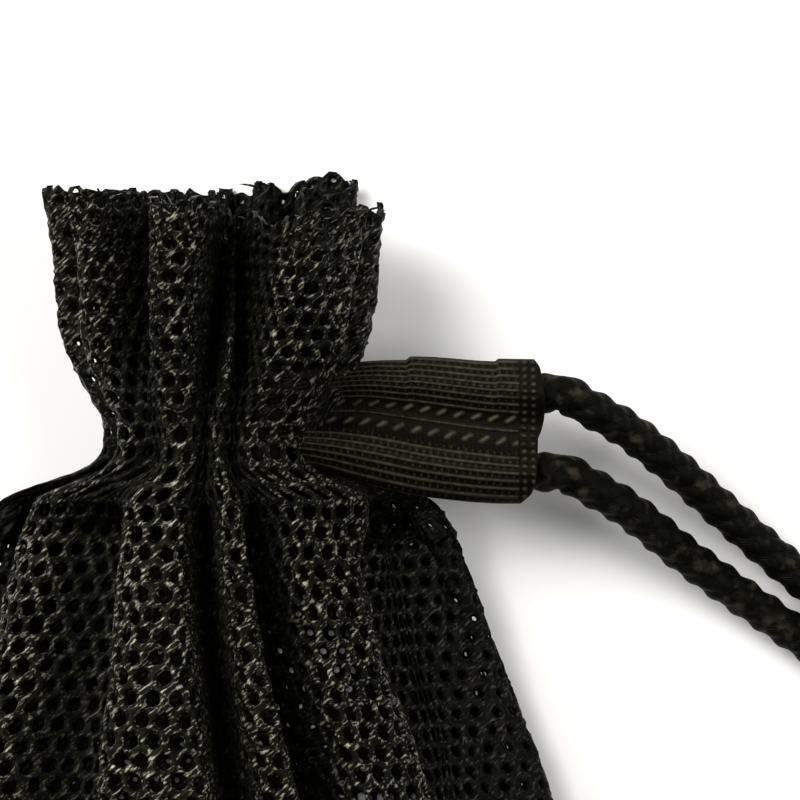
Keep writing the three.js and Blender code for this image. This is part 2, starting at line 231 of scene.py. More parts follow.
def coil_turn(radius, turned, last_radius, last_z):
    """Points of a leg's turn, a coil step apart: a circle met along the leg's own line, which
    draws in towards the knot at its end. Angles are in degrees."""
    angle = np.radians(coil_start + np.arange(0.0, turned + 1.0, coil_step))
    inward = np.clip((np.degrees(angle) - coil_start - turned + draw_in) / draw_in, 0.0, 1.0)
    ease = inward**2 * (3 - 2 * inward)
    r = radius + (last_radius - radius) * ease
    x = coil_centre[0] + r * np.cos(angle)
    y = coil_centre[1] + r * np.sin(angle)
    return np.stack([x, y, lying_height + (last_z - lying_height) * ease], axis=1)


upper_turn = coil_turn(coil_inner, turned=288.0, last_radius=22.5, last_z=4.6)
lower_turn = coil_turn(coil_inner + strand_pitch, turned=300.0, last_radius=27.5, last_z=3.6)
upper_path = spline([*upper_leg_route, *upper_turn], route_step)
lower_path = spline([*lower_leg_route, *lower_turn], route_step)


def braid_lift(around, along):
    """Height of an eight-strand braid between 0 and 1, and the number of yarn widths across the
    strand on top. Four strands turn each way, and each passes over and under in turn."""
    left = strands_each_way * (around + along / braid_pitch)
    right = strands_each_way * (around - along / braid_pitch)
    across_left = left - np.round(left)
    across_right = right - np.round(right)
    over = np.cos(np.pi * left) * np.cos(np.pi * right)
    round_left = np.sqrt(1 - (strand_roundness * across_left) ** 2)
    round_right = np.sqrt(1 - (strand_roundness * across_right) ** 2)
    height_left = round_left * (strand_middle + strand_swing * over)
    height_right = round_right * (strand_middle - strand_swing * over)
    on_top = height_left > height_right
    return np.where(on_top, height_left, height_right), np.where(on_top, across_left, across_right)


def sweep(path, radius, sides, upright=(0.0, 0.0, 1.0)):
    """Points of a tube along a path, on a stations-by-sides grid. The path is nowhere parallel
    to the upright direction, which keeps its section from twisting."""
    tangent = np.gradient(path, axis=0)
    tangent /= np.linalg.norm(tangent, axis=1, keepdims=True)
    level = np.cross(tangent, upright)
    level /= np.linalg.norm(level, axis=1, keepdims=True)
    rise = np.cross(level, tangent)
    angle = 2 * np.pi * np.arange(sides) / sides
    out = level[:, None] * np.cos(angle)[None, :, None] + rise[:, None] * np.sin(angle)[None, :, None]
    return path[:, None] + radius[..., None] * out


def tube_faces(stations, sides):
    """Quads of a closed-round grid, with its two ends left for caps."""
    i, j = np.meshgrid(np.arange(stations - 1), np.arange(sides), indexing="ij")
    k = (j + 1) % sides
    corners = [i * sides + j, (i + 1) * sides + j, (i + 1) * sides + k, i * sides + k]
    return np.stack(corners, -1).reshape(-1, 4)


def closed_tube(grid, end_middles):
    """Points and triangles of a stations-by-sides grid, with each end closed by a fan."""
    stations, sides = grid.shape[:2]
    quads = tube_faces(stations, sides)
    walls = np.concatenate([quads[:, [0, 1, 2]], quads[:, [0, 2, 3]]])
    count = stations * sides
    last = count - sides
    j = np.arange(sides)
    k = (j + 1) % sides
    first_cap = np.stack([np.full(sides, count), j, k], 1)
    last_cap = np.stack([np.full(sides, count + 1), last + k, last + j], 1)
    points = np.concatenate([grid.reshape(-1, 3), end_middles])
    return points, np.concatenate([walls, first_cap, last_cap])


def braided_tube(name, path, material, upright=(0.0, 0.0, 1.0)):
    """A braided cord along a path: a round section whose radius follows the braid's lift, and
    which closes in a round end."""
    step = np.linalg.norm(np.diff(path, axis=0), axis=1)
    along = np.append(0.0, np.cumsum(step))[:, None]
    around = (np.arange(cord_sides) / cord_sides)[None, :]
    lift, across = braid_lift(around, along)
    radius = cord_radius * (braid_floor + (1 - braid_floor) * lift)
    ends = np.clip(np.minimum(along, along[-1] - along) / end_length, 0, 1)
    radius = radius * np.sqrt(np.clip(1 - (1 - ends) ** 2, end_share, 1))
    points, faces = closed_tube(sweep(path, radius, cord_sides, upright), path[[0, -1]])
    piece = mesh_object(name, points, faces, material)
    point_numbers(piece, "yarn", np.append(across.ravel(), (0.0, 0.0)))
    return piece


# Braided polyester: soft black yarn with a dull sheen, and grey flecks of painted highlight where
# filaments catch the light. The yarn's fine filaments run along each strand.
yarn_sheen = "#fffbe6"
filament_rate = 60.0
filament_share = 0.35
yarn_bump = 0.00012
cord_material, tree, surface = new_material("black_braided_polyester", {
    "Roughness": 0.5, "Specular IOR Level": 0.05, "Specular Tint": linear(yarn_sheen)})
place = add_node(tree, "ShaderNodeTexCoord")
yarn = add_node(tree, "ShaderNodeAttribute", {"attribute_name": "yarn"})
fleck = add_node(tree, "ShaderNodeTexNoise", inputs={
    "Vector": place.outputs["Object"], "Scale": 420.0, "Detail": 3.0})
filament = add_node(tree, "ShaderNodeMath", {"operation": "MULTIPLY"}, {
    0: yarn.outputs["Fac"], 1: filament_rate})
filament_wave = add_node(tree, "ShaderNodeMath", {"operation": "SINE"}, {0: filament.outputs[0]})
height = add_node(tree, "ShaderNodeMath", {"operation": "MULTIPLY_ADD"}, {
    0: filament_wave.outputs[0], 1: filament_share, 2: fleck.outputs["Fac"]})
cord_colour = two_colours(tree, fleck.outputs["Fac"], (0.55, cord_black), (0.74, cord_painted_glint_grey))
tree.links.new(cord_colour, surface.inputs["Base Color"])
tree.links.new(bumps(tree, height.outputs[0], 0.5, yarn_bump), surface.inputs["Normal"])

upper_leg = braided_tube("cord_leg_upper", upper_path, cord_material)
lower_leg = braided_tube("cord_leg_lower", lower_path, cord_material)
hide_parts("drawstring_leg_upper", "drawstring_coil")
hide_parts("drawstring_leg_lower", "drawstring_coil")

# The knot that joins the two ends
# One overhand knot, pulled down until its loops lie on each other. It rests against the inside
# of the coil.
knot_radius = 6.4
knot_steps = 360
knot_press = 0.1
knot_reach = 1.5 * knot_radius + cord_radius - knot_press
knot_centre = (coil_centre[0] - (coil_inner - cord_radius - gap - knot_reach), coil_centre[1])
turn = np.linspace(0.0, 4 * np.pi, knot_steps)
swing = knot_radius * (2 + np.cos(1.5 * turn)) / 2
knot_path = np.stack([
    knot_centre[0] - swing * np.cos(turn),
    knot_centre[1] - swing * np.sin(turn),
    0.5 * knot_radius + cord_radius + 0.5 * knot_radius * np.sin(1.5 * turn),
], axis=1)
knot = braided_tube("cord_knot", knot_path, cord_material)
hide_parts("drawstring_knot")

# Casing tab
# Ribbed polyester tape, folded round the cord's two runs and sewn down between them with two
# rows of slanted stitches. It fans out of the gathers at the neck, and its end is hemmed.
tab_above = 10.4
tab_below = 10.9
tab_height = tab_above + tab_below
tape_wall = 1.0
tab_web = 1.6
lobe_width = 5.2
casing_radius = 12.4
rib_pitch = 1.1
rib_height = 0.42
rib_sharpness = 4
dot_pitch = 1.05
dot_sharpness = 5
dot_shift = 1.3
tab_stations = 216
front_steps = 176
back_steps = 90
neck_swell = 1.3
tape_black = "#060502"
tape_painted_highlight_grey = "#454031"
tab_start = 4.8

# The tab's course: distance from the neck, lower edge, middle rib and upper edge.
course_rows = np.array([
    (4.8, -3.4, 1.8, 6.4),
    (12.0, -5.0, 2.5, 8.5),
    (17.0, -6.4, 2.8, 9.5),
    (22.0, -7.9, 2.7, 10.1),
    (28.0, -9.3, 1.9, 10.3),
    (33.0, -10.1, 1.15, 10.3),
    (41.0, -10.8, 0.1, 10.1),
    (48.0, -10.8, -0.45, 10.0),
])
middle_share = 0.486
# Two laps of the tape make small steps in the upper edge. The first starts and is full, then
# fades and is gone, at the four distances from the neck. The second stays.
first_lap = (28.0, 28.8, 29.0, 41.0)
first_lap_height = 0.5
second_lap = (41.1, 41.7)
second_lap_height = 0.4
# The hem's outline: share of the height from the lower edge, and distance from the neck.
end_rows = np.array([
    (0.00, 44.9),
    (0.06, 46.3),
    (0.14, 46.9),
    (0.30, 47.2),
    (0.40, 47.1),
    (0.50, 47.9),
    (0.88, 47.9),
    (0.95, 47.6),
    (1.00, 46.9),
])
# The sewn middle: its lower and upper edge, each fading in between two places across the tab,
# and two rows of slanted stitches with one thin rib between them.
seam_low = (-3.9, -3.3)
seam_high = (1.7, 2.2)
seam_rib = 0.42
seam_dot = 0.7
stitch_rows = (1.0, -2.1)
stitch_pitch = 2.5
stitch_half = 0.95
stitch_thin = 0.36
stitch_lean = (0.83, 0.56)
thin_rib = 0.24
# Heights of the weave's parts, as shares of the tape's relief
rib_share = 0.85
dot_share = 0.60
seam_floor = 0.08
seam_share = 0.13
thin_rib_share = 0.7
stitch_share = 1.25
knot_share = 0.85
# The hem fades in between two distances from the neck, and its two rows of knots have each a
# distance and a half width.
hem_start = (44.4, 44.8)
hem_rows = ((45.4, 0.4), (46.7, 0.35))


def smoothstep(x, low, high):
    """The usual cubic ease from 0 at low to 1 at high."""
    t = np.clip((x - low) / (high - low), 0, 1)
    return t * t * (3 - 2 * t)


def tab_place(x, share):
    """Place across the tab of a share of its width, counted from its lower edge: a parabola
    through both edges and the middle rib, with the laps added to the upper edge."""
    lower, middle, upper = (hermite(x, course_rows[:, 0], course_rows[:, k]) for k in (1, 2, 3))
    first = smoothstep(x, *first_lap[:2]) * (1 - smoothstep(x, *first_lap[2:]))
    upper = upper + first_lap_height * first + second_lap_height * smoothstep(x, *second_lap)
    low_part = (share - middle_share) * (share - 1) / middle_share
    middle_part = share * (share - 1) / (middle_share * (middle_share - 1))
    high_part = share * (share - middle_share) / (1 - middle_share)
    return lower * low_part + middle * middle_part + upper * high_part


def tab_half(across):
    """Half the tab's thickness: a raised cosine over each run of the cord and a thin web."""
    lobe = cord_radius + gap + tape_wall
    near = np.minimum(np.abs(across - upper_run), np.abs(across - lower_run))
    return tab_web + (lobe - tab_web) * np.cos(np.clip(near / lobe_width, 0, 1) * np.pi / 2) ** 2


def tape_relief(along, across):
    """The weave of the tape between 0 and 1: solid ribs with rows of dots between them, two rows
    of slanted stitches with one thin rib between them, and two rows of knots along the hem."""
    rib = np.abs(np.cos(np.pi * across / rib_pitch)) ** rib_sharpness
    phase = 2 * np.pi * along / dot_pitch + dot_shift * np.floor(across / rib_pitch)
    dots = np.abs(np.sin(np.pi * across / rib_pitch)) ** dot_sharpness * (0.5 + 0.5 * np.sin(phase)) ** 2
    weave = rib_share * rib + dot_share * dots
    middle = smoothstep(across, *seam_low) * (1 - smoothstep(across, *seam_high))
    fine_weave = np.abs(np.sin(np.pi * across / seam_rib)) * (1 + np.sin(2 * np.pi * along / seam_dot))
    between_rows = np.exp(-(((across - 0.5 * sum(stitch_rows)) / thin_rib) ** 2))
    seam = np.maximum(seam_floor + seam_share * fine_weave, thin_rib_share * between_rows)
    lean, slant = stitch_lean
    for row in stitch_rows:
        offset = (along + 0.4 * row) % stitch_pitch - 0.5 * stitch_pitch
        length = lean * offset + slant * (across - row)
        breadth = lean * (across - row) - slant * offset
        stitch = np.exp(-((length / stitch_half) ** 4) - (breadth / stitch_thin) ** 2)
        seam = np.maximum(seam, stitch_share * stitch)
    weave = weave * (1 - middle) + seam * middle
    hem = smoothstep(along, *hem_start)
    knots = 0.5 + 0.5 * np.cos(2 * np.pi * across / rib_pitch)
    knot_rows = sum(np.exp(-(((along - row) / half) ** 2)) for row, half in hem_rows)
    return weave * (1 - hem) + knot_share * knots * knot_rows * hem


def tab_surface():
    """Points of the tab on a grid, and its weave: the outline of its section carried along X,
    with the weave raised on it."""
    along = np.linspace(0.0, 1.0, tab_stations)[:, None]
    front_share = np.linspace(0.0, 1.0, front_steps)
    back_share = np.linspace(1.0, 0.0, back_steps)
    share = np.concatenate([front_share, back_share])[None, :]
    side = np.concatenate([np.ones(front_steps), -np.ones(back_steps)])[None, :]
    x = tab_start + (hermite(share, end_rows[:, 0], end_rows[:, 1]) - tab_start) * along
    across = -tab_below + tab_height * share
    y = tab_place(x, share)
    edge = np.minimum(share, 1 - share) * tab_height
    rounding = np.sqrt(np.clip(1 - (1 - np.clip(edge / tab_web, 0, 1)) ** 2, 0.0, 1))
    swell = 1 + neck_swell * (1 - smoothstep(x, 0.5 * casing_radius, 1.5 * casing_radius))
    weave = tape_relief(x, across)
    height = swell * tab_half(across) * rounding + rib_height * (weave - 0.5) * rounding
    return np.stack([x, y, neck_lift + side * height], axis=-1), weave


# Ribbed tape: dull black polyester. The tops of its ribs and stitches are painted greyer, a painted
# highlight, in a fine uneven noise.
tape_material, tree, surface = new_material("black_ribbed_polyester_tape", {
    "Roughness": 0.6, "Specular IOR Level": 0.08, "Specular Tint": linear(yarn_sheen)})
place = add_node(tree, "ShaderNodeTexCoord")
weave_height = add_node(tree, "ShaderNodeAttribute", {"attribute_name": "weave"})
dust = add_node(tree, "ShaderNodeTexNoise", inputs={
    "Vector": place.outputs["Object"], "Scale": 1100.0, "Detail": 4.0})
# Painted highlight: the weave's height, broken by the fine noise, picks the grey
lit = add_node(tree, "ShaderNodeMath", {"operation": "MULTIPLY"}, {
    0: weave_height.outputs["Fac"], 1: dust.outputs["Fac"]})
tape_colour = two_colours(tree, lit.outputs[0], (0.12, tape_black), (0.68, tape_painted_highlight_grey))
tree.links.new(tape_colour, surface.inputs["Base Color"])
tree.links.new(bumps(tree, dust.outputs["Fac"], 0.5, yarn_bump), surface.inputs["Normal"])

tab_grid, weave_numbers = tab_surface()
end_weave = 0.1
points, faces = closed_tube(tab_grid, tab_grid[[0, -1]].mean(axis=1))
tab = mesh_object("casing_tab", points, faces, tape_material)
point_numbers(tab, "weave", np.append(weave_numbers.ravel(), (end_weave, end_weave)))
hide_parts("casing_tape")

# Gathered ring of the casing
# The same tape where it is drawn together inside the neck, a thick pleated ring round the cord.
ring_profile = np.array([
    (3.8, 0.0),
    (4.2, 8.8),
    (7.5, 9.9),
    (11.6, 8.8),
    (casing_radius, 3.0),
    (casing_radius, -3.0),
    (11.6, -9.0),
    (7.5, -10.2),
    (4.2, -9.0),
])
pleat_count = 17
pleat_depth = 0.07
pleated_from = 7.0
ring_steps = 340
ring_turn = 2 * np.pi * np.arange(ring_steps) / ring_steps
pleated = ring_profile[:, 0] > pleated_from
pleat = 1 - pleat_depth * (0.5 + 0.5 * np.cos(pleat_count * ring_turn))[:, None] * pleated
ring_radius = ring_profile[:, 0] * pleat
ring_points = np.stack([
    ring_radius * np.cos(ring_turn)[:, None],
    np.broadcast_to(ring_profile[:, 1], ring_radius.shape),
    neck_lift + ring_radius * np.sin(ring_turn)[:, None],
], axis=-1)
# The turn's last section joins the first, so the grid's faces run on past it
row_size = len(ring_profile)
ring_faces = tube_faces(ring_steps + 1, row_size) % (ring_steps * row_size)
ring_points = ring_points.reshape(-1, 3)
casing_ring = mesh_object("casing_ring", ring_points, ring_faces, tape_material)
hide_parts("casing_tape")

# Cord inside the casing
# One length of the same cord: in along the tab's upper run, round the neck inside the ring and
# out along the lower run. Only its ends can be seen, in the mouths of the two runs.
turn_radius = 8.1
inner_step = 0.6
upper_share = (upper_run + tab_below) / tab_height
lower_share = (lower_run + tab_below) / tab_height
run_stations = np.array([leg_start - gap, 32.0, 24.0, 17.5])
ring_angles = np.radians(np.arange(42.0, 319.0, 23.0))
upper_part = [(x, float(tab_place(x, upper_share)), neck_lift) for x in run_stations]
lower_part = [(x, float(tab_place(x, lower_share)), neck_lift) for x in run_stations[::-1]]
ring_part = np.stack([
    turn_radius * np.cos(ring_angles),
    np.linspace(3.6, -2.0, len(ring_angles)),
    neck_lift + turn_radius * np.sin(ring_angles),
], axis=1)
inner_path = spline([*upper_part, *ring_part, *lower_part], inner_step)
inner_cord = braided_tube("cord_in_casing", inner_path, cord_material, upright=(0.0, 1.0, 0.0))
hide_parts("drawstring_in_casing")

# Mesh pouch
# Knitted polyester mesh with rounded six-sided holes, 3.2 mm apart. The same cloth makes the
# ruffle, the gathered neck and the body, so one surface carries the whole net.
hole_pitch = 3.2
net_columns = 144
neck_radius = 16.3
ruffle_radius = 25.0
ruffle_fold = 17.0
neck_pleat = 2.6
ragged_from = 0.7 * ruffle_height
ragged_height = 0.9
wrinkle_height = 0.45
body_half_width = 98.0
body_height = 62.0
body_fold = 16.0

# One row for each section from the rim to the bottom edge. Level is the height above the neck,
# and the others are half width, top, height of the widest line, depth of folds and lens.
ruffle_sections = np.array([
    (1.00, 1.00, 0.86, 1.00),
    (0.80, 0.965, 0.84, 1.00),
    (0.55, 0.920, 0.82, 0.90),
    (0.32, 0.860, 0.78, 0.52),
    (0.16, 0.750, 0.70, 0.22),
])
body_sections = np.array([
    (0.020, 0.200, 0.52, 0.225, 0.22, 1.5),
    (0.034, 0.315, 0.55, 0.17, 0.28, 1.9),
    (0.048, 0.352, 0.57, 0.14, 0.60, 2.4),
    (0.072, 0.382, 0.62, 0.11, 0.80, 2.2),
    (0.105, 0.415, 0.68, 0.09, 0.95, 2.0),
    (0.150, 0.465, 0.75, 0.08, 1.00, 1.8),
    (0.210, 0.530, 0.83, 0.07, 1.00, 1.6),
    (0.290, 0.625, 0.90, 0.07, 0.85, 1.5),
    (0.390, 0.740, 0.96, 0.07, 0.62, 1.4),
    (0.500, 0.850, 1.00, 0.07, 0.44, 1.3),
    (0.610, 0.935, 1.00, 0.07, 0.30, 1.25),
    (0.720, 0.985, 0.94, 0.07, 0.20, 1.2),
    (0.820, 1.000, 0.80, 0.065, 0.14, 1.2),
    (0.900, 0.970, 0.59, 0.06, 0.10, 1.15),
    (0.960, 0.890, 0.34, 0.05, 0.05, 1.1),
    (1.000, 0.740, 0.07, 0.035, 0.00, 1.0),
])
# Valleys between the folds. Places and half widths are shares of a turn, counted from the tab
# over the upper side. Each row holds the valley's place at the four levels below, its half width
# at the same levels, its depth in the ruffle and in the body, how far down it reaches and how
# strong its painted shade is.
valley_levels = (ruffle_height, 0.0, -18.0, -54.0)
valley_table = np.array([
    (0.040, 0.060, 0.094, 0.085, 0.018, 0.024, 0.041, 0.037, 0.35, 1.00, 0.50, 0.92),
    (0.183, 0.213, 0.207, 0.186, 0.019, 0.015, 0.012, 0.011, 1.00, 1.00, 0.80, 0.98),
    (0.222, 0.257, 0.252, 0.229, 0.026, 0.012, 0.010, 0.010, 1.00, 0.95, 0.50, 0.96),
    (0.345, 0.345, 0.340, 0.330, 0.028, 0.024, 0.024, 0.024, 0.90, 0.95, 0.70, 0.95),
    (0.440, 0.440, 0.435, 0.425, 0.022, 0.022, 0.024, 0.026, 0.80, 0.80, 0.50, 0.90),
    (0.555, 0.555, 0.555, 0.555, 0.020, 0.020, 0.020, 0.020, 0.70, 0.70, 0.40, 0.90),
    (0.655, 0.655, 0.655, 0.655, 0.024, 0.024, 0.024, 0.024, 0.80, 0.60, 0.40, 0.90),
    (0.750, 0.750, 0.750, 0.750, 0.024, 0.024, 0.024, 0.024, 0.70, 0.60, 0.50, 0.90),
    (0.845, 0.845, 0.845, 0.845, 0.024, 0.024, 0.024, 0.024, 0.80, 0.60, 0.40, 0.90),
    (0.945, 0.945, 0.945, 0.945, 0.020, 0.020, 0.020, 0.020, 0.70, 0.70, 0.40, 0.90),
])
# How soon a valley's painted shade is full, and the painted highlight of the lit edge on both sides
# of it: its distance from the valley's middle and its breadth, both in the valley's half widths, and its
# strength.
dark_rate = 2.5
lit_offset = 1.4
lit_breadth = 0.3
lit_strength = 0.6


def valley_share(turn, level):
    """How deep in a valley a place on the cloth is, from 0 on a crest to 1 at the bottom, and
    how much painted light is left there after the valleys' painted shade and their lit edges."""
    share = np.zeros(np.broadcast(turn, level).shape)
    light = 1.0
    for place, width, row in zip(*valley_places(level), valley_table):
        ruffle, body, reach, dark = row[8:]
        apart = np.abs(turn - place)
        offset = np.minimum(apart, 1 - apart) / width
        fade = np.exp(-((level / (reach * body_depth)) ** 2))
        notch = np.where(level > 0, ruffle, body * fade) * np.exp(-(offset**3))
        share = share + notch
        edge = np.exp(-(((offset - lit_offset) / lit_breadth) ** 2)) * fade
        # Painted shade in the valley, and a painted highlight on its edges
        light = light * (1 - dark * np.minimum(dark_rate * notch, 1.0)) * (1 + lit_strength * edge)
    return np.minimum(share, 1.0), light


def valley_places(level):
    """Where each valley runs at a level, and its half width there."""
    rising = valley_levels[::-1]
    places = [np.interp(level, rising, row[3::-1]) for row in valley_table]
    widths = [np.interp(level, rising, row[7:3:-1]) for row in valley_table]
    return places, widths


# Height of the raw-cut rim round the mouth, as a share of the ruffle's: it dips over the two
# front folds and stands up in a corner behind the right one.
rim_rows = np.array([
    (0.000, 0.86),
    (0.060, 0.86),
    (0.130, 0.82),
    (0.190, 0.84),
    (0.250, 0.88),
    (0.310, 0.88),
    (0.400, 0.92),
    (0.500, 0.95),
    (0.620, 0.96),
    (0.750, 0.965),
    (0.800, 0.990),
    (0.867, 0.995),
    (0.875, 1.055),
    (0.890, 1.02),
    (0.905, 1.00),
    (0.925, 0.98),
    (0.945, 0.95),
    (0.965, 0.90),
    (1.000, 0.86),
])

# The tables' shares as lengths, from the rim over the neck to the bottom edge
ruffle_level, ruffle_wide, ruffle_top, ruffle_folds = ruffle_sections.T
body_level, body_wide, body_top, body_side, body_folds, body_lens = body_sections.T
level_rows = np.concatenate([ruffle_level * ruffle_height, [0.0], -body_level * body_depth])
to_neck = np.ones(len(ruffle_sections) + 1)
section_rows = [
    np.concatenate([ruffle_wide * ruffle_radius, [neck_radius], body_wide * body_half_width]),
    np.concatenate([
        neck_lift + ruffle_top * ruffle_radius,
        [neck_lift + neck_radius],
        body_top * body_height,
    ]),
    np.concatenate([neck_lift * to_neck, body_side * body_height]),
    np.concatenate([ruffle_folds * ruffle_fold, [neck_pleat], body_folds * body_fold]),
    np.concatenate([to_neck, body_lens]),
]


def section(level):
    """Half width, top, height of the widest line, depth of folds and lens at a level,
    interpolated smoothly between the rows."""
    return [hermite(-level, -level_rows, rows) for rows in section_rows]


def arch(turn, wide, top, side, lens):
    """The section without folds: an arch over the widest line and a flat-lying underside."""
    angle = 2 * np.pi * turn
    sine = np.sin(angle)
    rise = np.abs(sine) ** lens
    under = np.minimum(wide, side + neck_lift)
    return wide * np.cos(angle), np.where(sine >= 0, side + (top - side) * rise, side - under * rise)


# Waves of the cloth: their number round the bag, slant in turns a millimetre and phase
waves = [(23, 0.031, 0.4), (31, -0.023, 1.9), (44, 0.014, 3.1), (13, 0.045, 5.2)]
wave_sum = 2.5


def wrinkle(turn, level):
    """Small uneven waves between about -1 and 1, the same after each whole turn."""
    angles = [2 * np.pi * (count * turn + slant * level) + phase for count, slant, phase in waves]
    return sum(np.sin(angle) for angle in angles) / wave_sum


# Step of the turn for the section's slope, share of a fold's depth that the underside keeps, and
# how deep a fold may go: shares of its height over the widest line and of that line's height.
slope_step = 0.002
under_fold = 0.5
fold_room = (0.6, 0.25)


def pouch_surface(turn, level):
    """Points of the cloth: the arch pushed inward by the valleys, no further than there is room
    in the body, and never under the surface that the bag lies on."""
    wide, top, side, fold, lens = section(level)
    x, z = arch(turn, wide, top, side, lens)
    ahead = arch(turn + slope_step, wide, top, side, lens)
    behind = arch(turn - slope_step, wide, top, side, lens)
    tangent = np.stack([ahead[0] - behind[0], ahead[1] - behind[1]])
    tangent /= np.maximum(np.linalg.norm(tangent, axis=0), 1e-9)
    share, _ = valley_share(turn, level)
    under_share = np.where((np.sin(2 * np.pi * turn) < 0) & (level < 0), under_fold, 1.0)
    wish = np.maximum(fold * share * under_share, 1e-6)
    room = fold_room[0] * np.abs(z - side) + fold_room[1] * side
    limited = (wish**-3 + np.maximum(room, 1e-3) ** -3) ** (-1 / 3)
    depth = np.where(level < -neck_radius, limited, wish)
    depth = depth + wrinkle_height * wrinkle(turn, level) * np.minimum(np.abs(level) / neck_radius, 1.0)
    x = x - tangent[1] * depth
    z = z + tangent[0] * depth
    rim = np.interp(turn, rim_rows[:, 0], rim_rows[:, 1])
    ragged = smoothstep(level, ragged_from, ruffle_height)
    y = np.where(level > 0, level * rim, level) + ragged_height * ragged * wrinkle(2 * turn, level)
    return np.stack(np.broadcast_arrays(x, y, np.maximum(z, 0.0)), axis=-1)


# Middle and half size of the patch on the underside where the cloth is drawn tight, so that light
# comes through its holes and shows in those above it, and how far its holes open.
tight_turn = 0.825
tight_level = -60.0
tight_width = 0.045
tight_length = 28
tight_spread = 0.6
# Sines of the turn between which the cloth opens up and between which the ruffle is lit by painted
# light, and how much the painted light fades at the neck and the holes close in a valley.
open_from = (0.20, 0.65)
lit_from = (-0.3, 0.6)
neck_shade = 0.35
valley_open = 0.6
gather_power = 6
dense_steps = 2401


def cloth_table(levels, per_column):
    """The cloth's points on a grid of net columns and levels. Each fold keeps its number of
    columns. Across its crest they lie a hole's pitch apart, and the cloth that is over is
    drawn together in the valleys on either side."""
    dense = np.linspace(0.0, 1.0, dense_steps)
    ring = pouch_surface(dense[None, :], levels[:, None])
    arc = np.cumsum(np.linalg.norm(np.diff(ring, axis=1), axis=2), axis=1)
    arc = np.concatenate([np.zeros((len(levels), 1)), arc], axis=1)
    valley_turns = np.stack(valley_places(levels)[0], axis=1)
    widest = np.argmax(arc[:, -1])
    cuts_wide = np.interp(valley_turns[widest], dense, arc[widest])
    lengths = np.diff(np.append(cuts_wide, cuts_wide[0] + arc[widest, -1]))
    owned = lengths / lengths.sum() * net_columns
    starts = np.append(0.0, np.cumsum(owned))
    columns = np.arange(net_columns * per_column) / per_column
    fold_of = np.clip(np.searchsorted(starts, columns, side="right") - 1, 0, len(valley_table) - 1)
    tau = 2 * (columns - starts[fold_of]) / owned[fold_of] - 1
    turns = np.empty((len(levels), len(columns)))
    for row in range(len(levels)):
        cuts = np.interp(valley_turns[row], dense, arc[row])
        total = arc[row, -1]
        width = np.diff(np.append(cuts, cuts[0] + total))
        spare = np.maximum(owned * hole_pitch / width, 1.0)[fold_of]
        reach = tau * spare
        clamped = reach / (1 + np.abs(reach) ** gather_power) ** (1 / gather_power)
        full = spare / (1 + spare**gather_power) ** (1 / gather_power)
        target = cuts[fold_of] + 0.5 * width[fold_of] * (1 + clamped / full)
        turns[row] = np.interp(target % total, arc[row], dense)
    points = pouch_surface(turns, levels[:, None])
    along = np.gradient(points, axis=0)
    across = np.roll(points, -1, axis=1) - np.roll(points, 1, axis=1)
    normal = np.cross(across, along)
    normal /= np.maximum(np.linalg.norm(normal, axis=2, keepdims=True), 1e-9)
    upper = smoothstep(np.sin(2 * np.pi * turns), *open_from)
    # Painted light and shade for the cloth's material: painted shade at the neck, painted light on the
    # ruffle's sides and the body's upper side, and the valleys' painted shade with lit edges
    painted_neck_shade_factor = 1 - neck_shade * np.exp(-((levels[:, None] / neck_radius) ** 2))
    _, light = valley_share(turns, levels[:, None])
    sides = smoothstep(np.sin(2 * np.pi * turns), *lit_from)
    painted_light = painted_neck_shade_factor * np.where(levels[:, None] > 0, sides, upper) * light
    # The raw-cut edge itself gets no painted light and stays dark
    painted_light[0] = 0.0
    # The holes close in the valleys as far as their painted shade goes
    spread = upper * (valley_open + (1 - valley_open) * np.minimum(light, 1.0))
    turn_off = (turns - tight_turn) / tight_width
    level_off = (levels[:, None] - tight_level) / tight_length
    spread = np.maximum(spread, tight_spread * np.exp(-(turn_off**2) - level_off**2))
    return points, normal, np.stack([spread, painted_light], axis=-1)


row_rise = hole_pitch * np.sqrt(3) / 2
net_rows = int(round((ruffle_height + body_depth) / row_rise))
row_rise = (ruffle_height + body_depth) / net_rows
steps_per_row = 4
steps_per_column = 8
table_levels = np.linspace(ruffle_height, -body_depth, net_rows * steps_per_row + 1)
cloth_points, cloth_normals, cloth_shares = cloth_table(table_levels, steps_per_column)


def blend(table, column, row):
    """A value of the table at net coordinates, blended from its four nearest entries."""
    u = (column % net_columns) * steps_per_column
    v = np.clip(row, 0.0, net_rows - 1e-6) * steps_per_row
    u0 = np.floor(u).astype(int)
    v0 = np.floor(v).astype(int)
    fu = (u - u0)[..., None]
    fv = (v - v0)[..., None]
    u0 = u0 % table.shape[1]
    u1 = (u0 + 1) % table.shape[1]
    v1 = np.minimum(v0 + 1, table.shape[0] - 1)
    upper = table[v0, u0] * (1 - fu) + table[v0, u1] * fu
    lower = table[v1, u0] * (1 - fu) + table[v1, u1] * fu
    return upper * (1 - fv) + lower * fv


# Half the width of a hole in shares of the pitch, where the cloth is spread and where it lies
# slack on its underside, and how much its six corners stand out.
hole_open = 0.31
hole_under = 0.11
hole_corner = 0.05
# Depth of a hole's rim, of the yarn's shoulder and of the inner face under the cloth's top, and
# the least height of the cloth over the surface that it lies on
rim_depth = 0.55
shoulder_depth = 0.10
plain_rim_depth = 0.50
cloth_depth = 0.90
least_height = 0.05
# Small random shifts of the net's corners and holes, in shares of the pitch, so that it looks
# knitted and not punched. One set serves all the pieces, so that their edges meet.
shift_share = 0.035
net_shifts = np.random.default_rng(11).normal(0.0, shift_share, (6, net_rows + 4, net_columns, 3))


